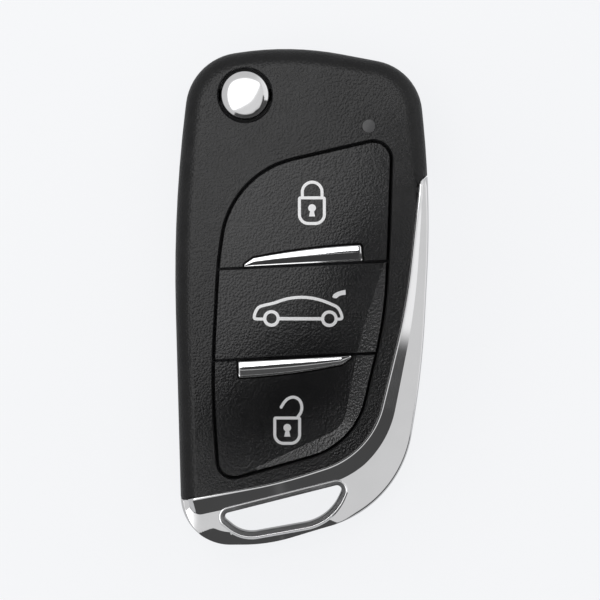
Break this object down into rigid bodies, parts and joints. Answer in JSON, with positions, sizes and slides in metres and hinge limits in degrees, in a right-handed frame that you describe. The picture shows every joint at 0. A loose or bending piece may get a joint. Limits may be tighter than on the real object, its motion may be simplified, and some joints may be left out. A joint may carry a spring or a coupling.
{
  "type": "flip key fob",
  "caption": "Flat car key fob with rounded shells, a slanted keypad, a bright metal trim with a keyring slot, a round release button and a blade that swings out of its side.",
  "frame": {"origin": "centre of the fob's outline, on the plane of its flat back", "axes": "+Z out of the keypad face, +Y along the fob towards the release button, +X to the side of the trim's tip"},
  "size_m": [0.0383, 0.075, 0.0152],
  "materials": {
    "shell_plastic": "fine-grained satin black",
    "cap_plastic": "fine-grained satin black",
    "trim_chrome": "bright plated",
    "accent_chrome": "bright plated",
    "release_chrome": "bright plated",
    "window_plastic": "smoked clear",
    "mat_silicone": "matt",
    "plunger_plastic": "natural",
    "switch_metal": "stamped",
    "board_laminate": "solder mask",
    "led_body": "clear",
    "chip_plastic": "moulded",
    "crystal_can": "satin",
    "coil_ferrite": "wound",
    "transponder_resin": "moulded",
    "cell_steel": "satin",
    "contact_metal": "sprung sheet",
    "head_plastic": "moulded",
    "blade_steel": "milled",
    "pin_steel": "rolled",
    "spring_steel": "drawn wire"
  },
  "bodies": {
    "housing": {"front_shell": "shell_plastic", "rear_shell": "shell_plastic", "chrome_trim": "trim_chrome", "light_window": "window_plastic", "silicone_mat": "mat_silicone", "lock_switch": "switch_metal", "boot_switch": "switch_metal", "unlock_switch": "switch_metal", "circuit_board": "board_laminate", "status_led": "led_body", "control_chip": "chip_plastic", "radio_crystal": "crystal_can", "antenna_coil": "coil_ferrite", "transponder": "transponder_resin", "coin_cell": "cell_steel", "positive_contact": "contact_metal", "negative_contact": "contact_metal", "flip_spring": "spring_steel"},
    "flip": {"flip_head": "head_plastic", "key_blade": "blade_steel", "blade_pin": "pin_steel"},
    "release": {"flip_button": "release_chrome"},
    "lock": {"lock_button": "cap_plastic", "upper_accent": "accent_chrome", "lock_plunger": "plunger_plastic"},
    "boot": {"boot_button": "cap_plastic", "boot_plunger": "plunger_plastic"},
    "unlock": {"unlock_button": "cap_plastic", "lower_accent": "accent_chrome", "unlock_plunger": "plunger_plastic"}
  },
  "joints": [
    {"name": "blade_flip", "type": "hinge", "parent": "housing", "child": "flip", "pos_m": [-0.0086, 0.0305, 0.0071], "axis": [0, 0, -1], "range_deg": [0, 180]},
    {"name": "release_press", "type": "slide", "parent": "flip", "child": "release", "axis": [0, 0, -1], "range_m": [0, 0.002], "stiffness_N_per_m": 600, "deforming": ["flip_spring"]},
    {"name": "lock_press", "type": "slide", "parent": "housing", "child": "lock", "axis": [0, 0, -1], "range_m": [0, 0.0006], "stiffness_N_per_m": 2500, "deforming": ["silicone_mat"]},
    {"name": "boot_press", "type": "slide", "parent": "housing", "child": "boot", "axis": [0, 0, -1], "range_m": [0, 0.0006], "stiffness_N_per_m": 2500, "deforming": ["silicone_mat"]},
    {"name": "unlock_press", "type": "slide", "parent": "housing", "child": "unlock", "axis": [0, 0, -1], "range_m": [0, 0.0006], "stiffness_N_per_m": 2500, "deforming": ["silicone_mat"]}
  ]
}
